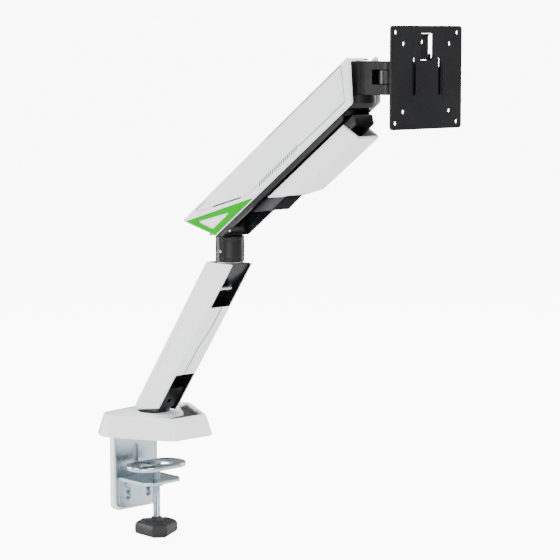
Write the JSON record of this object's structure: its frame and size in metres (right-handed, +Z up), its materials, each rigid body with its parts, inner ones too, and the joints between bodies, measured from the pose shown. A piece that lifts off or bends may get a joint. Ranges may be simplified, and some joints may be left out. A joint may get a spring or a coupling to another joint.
{
  "type": "monitor arm",
  "caption": "Desk-clamped monitor arm with a leaning swivel post, gas-spring lift arm, pan and tilt head, and a screen plate with square screw patterns.",
  "frame": {"origin": "on the base swivel axis, on the underside of the desk pad, which is the desk's top surface", "axes": "+X forward, from the desk clamp towards the screen plate, +Z up, +Y to the left when looking along +X"},
  "size_m": [0.5288, 0.1556, 0.661],
  "materials": {
    "white_plastic": "fine satin moulded ABS",
    "black_paint": "satin black powder coat",
    "dark_plastic": "fine textured nylon",
    "green_plastic": "bright gloss moulded trim",
    "zinc_steel": "bright zinc plate",
    "plain_steel": "bright turned steel",
    "bearing_polymer": "natural bearing polymer",
    "foam_rubber": "soft closed-cell pad"
  },
  "bodies": {
    "base": {"base_cover": "white_plastic", "base_platform": "white_plastic", "cable_insert": "dark_plastic", "desk_pad": "foam_rubber", "base_plate": "plain_steel", "base_post": "plain_steel", "base_washer": "bearing_polymer", "clamp_upper_bracket": "zinc_steel", "clamp_back_cover": "white_plastic", "clamp_lower_bracket": "zinc_steel", "bracket_bolt_near": "zinc_steel", "bracket_bolt_far": "zinc_steel", "flange_screw_near": "plain_steel", "flange_screw_mid": "plain_steel", "flange_screw_far": "plain_steel"},
    "clamp_foot": {"pressure_plate": "zinc_steel"},
    "clamp_spindle": {"clamp_screw": "zinc_steel", "clamp_knob": "dark_plastic"},
    "lower_arm": {"lower_cover_near": "white_plastic", "lower_cover_far": "white_plastic", "lower_arm_core": "black_paint", "foot_screw": "black_paint", "cable_pin": "zinc_steel", "elbow_post": "plain_steel", "base_bush": "bearing_polymer"},
    "elbow": {"elbow_tube": "black_paint", "elbow_yoke": "black_paint", "elbow_set_screw": "plain_steel", "elbow_bush": "bearing_polymer", "elbow_washer": "bearing_polymer", "lift_pin": "plain_steel", "link_pin_elbow": "plain_steel"},
    "upper_arm": {"arm_cover_near": "white_plastic", "arm_cover_far": "white_plastic", "trim_near": "green_plastic", "trim_far": "green_plastic", "arm_channel": "black_paint", "cable_tray": "dark_plastic", "cable_cover": "white_plastic", "spring_pin_arm": "plain_steel", "head_pin": "plain_steel"},
    "link": {"level_link": "black_paint"},
    "spring_cylinder": {"gas_cylinder": "black_paint"},
    "spring_rod": {"gas_rod": "plain_steel"},
    "head_knuckle": {"knuckle": "black_paint", "link_pin_head": "plain_steel", "pan_post": "plain_steel", "pan_cap": "zinc_steel"},
    "head_fork": {"fork": "black_paint", "fork_pin": "plain_steel"},
    "head_tongue": {"tongue": "black_paint"},
    "tilt_head": {"tilt_yoke": "black_paint", "tilt_bolt": "plain_steel", "tilt_nut": "plain_steel", "rotation_washer": "bearing_polymer"},
    "rotor": {"release_bracket": "black_paint", "rotation_bolt": "plain_steel", "latch_pin": "plain_steel"},
    "latch": {"release_latch": "black_paint"},
    "screen_plate": {"vesa_plate": "black_paint"}
  },
  "joints": [
    {"name": "clamp_travel", "type": "slide", "parent": "base", "child": "clamp_foot", "axis": [0, 0, 1], "range_m": [-0.0101, 0.0401]},
    {"name": "clamp_turn", "type": "hinge", "parent": "clamp_foot", "child": "clamp_spindle", "pos_m": [0.004, 0, -0.08], "axis": [0, 0, 1], "range_deg": [-2400, 9600]},
    {"name": "base_turn", "type": "hinge", "parent": "base", "child": "lower_arm", "pos_m": [0, 0, 0.03], "axis": [0, 0, 1], "range_deg": [-180, 180]},
    {"name": "elbow_turn", "type": "hinge", "parent": "lower_arm", "child": "elbow", "pos_m": [0.1495, 0, 0.25], "axis": [0, 0, 1], "range_deg": [-180, 180]},
    {"name": "arm_lift", "type": "hinge", "parent": "elbow", "child": "upper_arm", "pos_m": [0.144, 0, 0.3026], "axis": [0, -1, 0], "range_deg": [-60, 10]},
    {"name": "link_swing", "type": "hinge", "parent": "elbow", "child": "link", "pos_m": [0.144, 0, 0.2826], "axis": [0, -1, 0], "range_deg": [-60.1, 10.1]},
    {"name": "spring_swing", "type": "hinge", "parent": "upper_arm", "child": "spring_cylinder", "pos_m": [0.30235, 0, 0.40777], "axis": [0, -1, 0], "range_deg": [-1, 2.5]},
    {"name": "spring_stroke", "type": "slide", "parent": "spring_cylinder", "child": "spring_rod", "axis": [-0.7845, 0, -0.6201], "range_m": [-0.0215, 0.005]},
    {"name": "head_level", "type": "hinge", "parent": "upper_arm", "child": "head_knuckle", "pos_m": [0.34778, 0, 0.44742], "axis": [0, -1, 0], "range_deg": [-10.1, 60.1]},
    {"name": "head_pan", "type": "hinge", "parent": "head_knuckle", "child": "head_fork", "pos_m": [0.372, 0, 0.465], "axis": [0, 0, 1], "range_deg": [-10, 10]},
    {"name": "head_swivel", "type": "hinge", "parent": "head_fork", "child": "head_tongue", "pos_m": [0.428, 0, 0.4665], "axis": [0, 0, 1], "range_deg": [-90, 90]},
    {"name": "head_tilt", "type": "hinge", "parent": "head_tongue", "child": "tilt_head", "pos_m": [0.457, 0, 0.4665], "axis": [0, 1, 0], "range_deg": [-35, 15]},
    {"name": "screen_rotation", "type": "hinge", "parent": "tilt_head", "child": "rotor", "pos_m": [0.475, 0, 0.4665], "axis": [1, 0, 0], "range_deg": [-180, 180]},
    {"name": "latch_press", "type": "hinge", "parent": "rotor", "child": "latch", "pos_m": [0.4734, 0, 0.4895], "axis": [0, -1, 0], "range_deg": [0, 10], "stiffness_Nm_per_rad": 0.1, "springref_deg": -8.59},
    {"name": "plate_release", "type": "slide", "parent": "rotor", "child": "screen_plate", "axis": [0, 0, 1], "range_m": [0, 0.025]}
  ],
  "couplings": [
    {"joint": "clamp_travel", "follows": "clamp_turn", "m_per_rad": 0.00023873},
    {"joint": "link_swing", "follows": "arm_lift", "ratio": 1},
    {"joint": "spring_swing", "follows": "arm_lift", "ratio": -0.028},
    {"joint": "spring_stroke", "follows": "arm_lift", "m_per_rad": 0.01855},
    {"joint": "head_level", "follows": "arm_lift", "ratio": -1}
  ]
}
